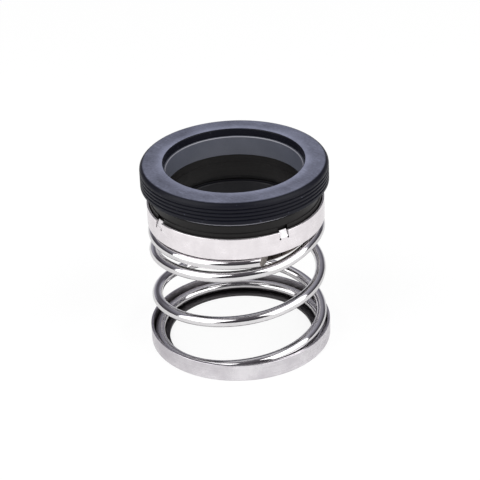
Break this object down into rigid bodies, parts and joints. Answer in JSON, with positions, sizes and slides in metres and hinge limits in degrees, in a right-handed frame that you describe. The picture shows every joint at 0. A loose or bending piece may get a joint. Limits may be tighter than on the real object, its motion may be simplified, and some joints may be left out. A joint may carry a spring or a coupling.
{
  "type": "component mechanical seal",
  "caption": "Pump shaft seal: a coil spring in a holder presses a carbon ring, in a lugged shell on a rubber bellows, onto a mating ring in a ribbed rubber cup.",
  "frame": {"origin": "centre of the spring seat's underside, on the shaft axis", "axes": "+Z along the shaft axis from the spring seat to the static cup; -Y is the front, towards which the upper wire end lies; +X is to the right"},
  "size_m": [0.056, 0.056, 0.06],
  "materials": {
    "stamped_steel": "satin stainless steel",
    "spring_wire": "bright polished stainless wire",
    "drawn_steel": "bright drawn stainless steel, finely brushed",
    "band_steel": "bright stainless strip",
    "bellows_rubber": "matt black moulded rubber",
    "carbon_face": "resin-filled carbon, dark brown-black, smooth machined",
    "seat_ceramic": "ground grey sintered ceramic with a lapped face",
    "cup_rubber": "blue-black moulded rubber with a worn grey end face"
  },
  "bodies": {
    "base": {"spring_seat": "stamped_steel", "coil_spring": "spring_wire"},
    "head": {"retainer_shell": "drawn_steel", "drive_band": "band_steel", "shaft_bellows": "bellows_rubber", "primary_ring": "carbon_face"},
    "stator": {"stationary_seat": "seat_ceramic", "static_cup": "cup_rubber"}
  },
  "joints": [
    {"name": "head_slide", "type": "slide", "parent": "base", "child": "head", "axis": [0, 0, 1], "range_m": [-0.015, 0], "stiffness_N_per_m": 4000, "deforming": ["coil_spring"]},
    {"name": "seat_spin", "type": "hinge", "parent": "head", "child": "stator", "pos_m": [0, 0, 0.0515], "axis": [0, 0, 1], "continuous": true}
  ]
}
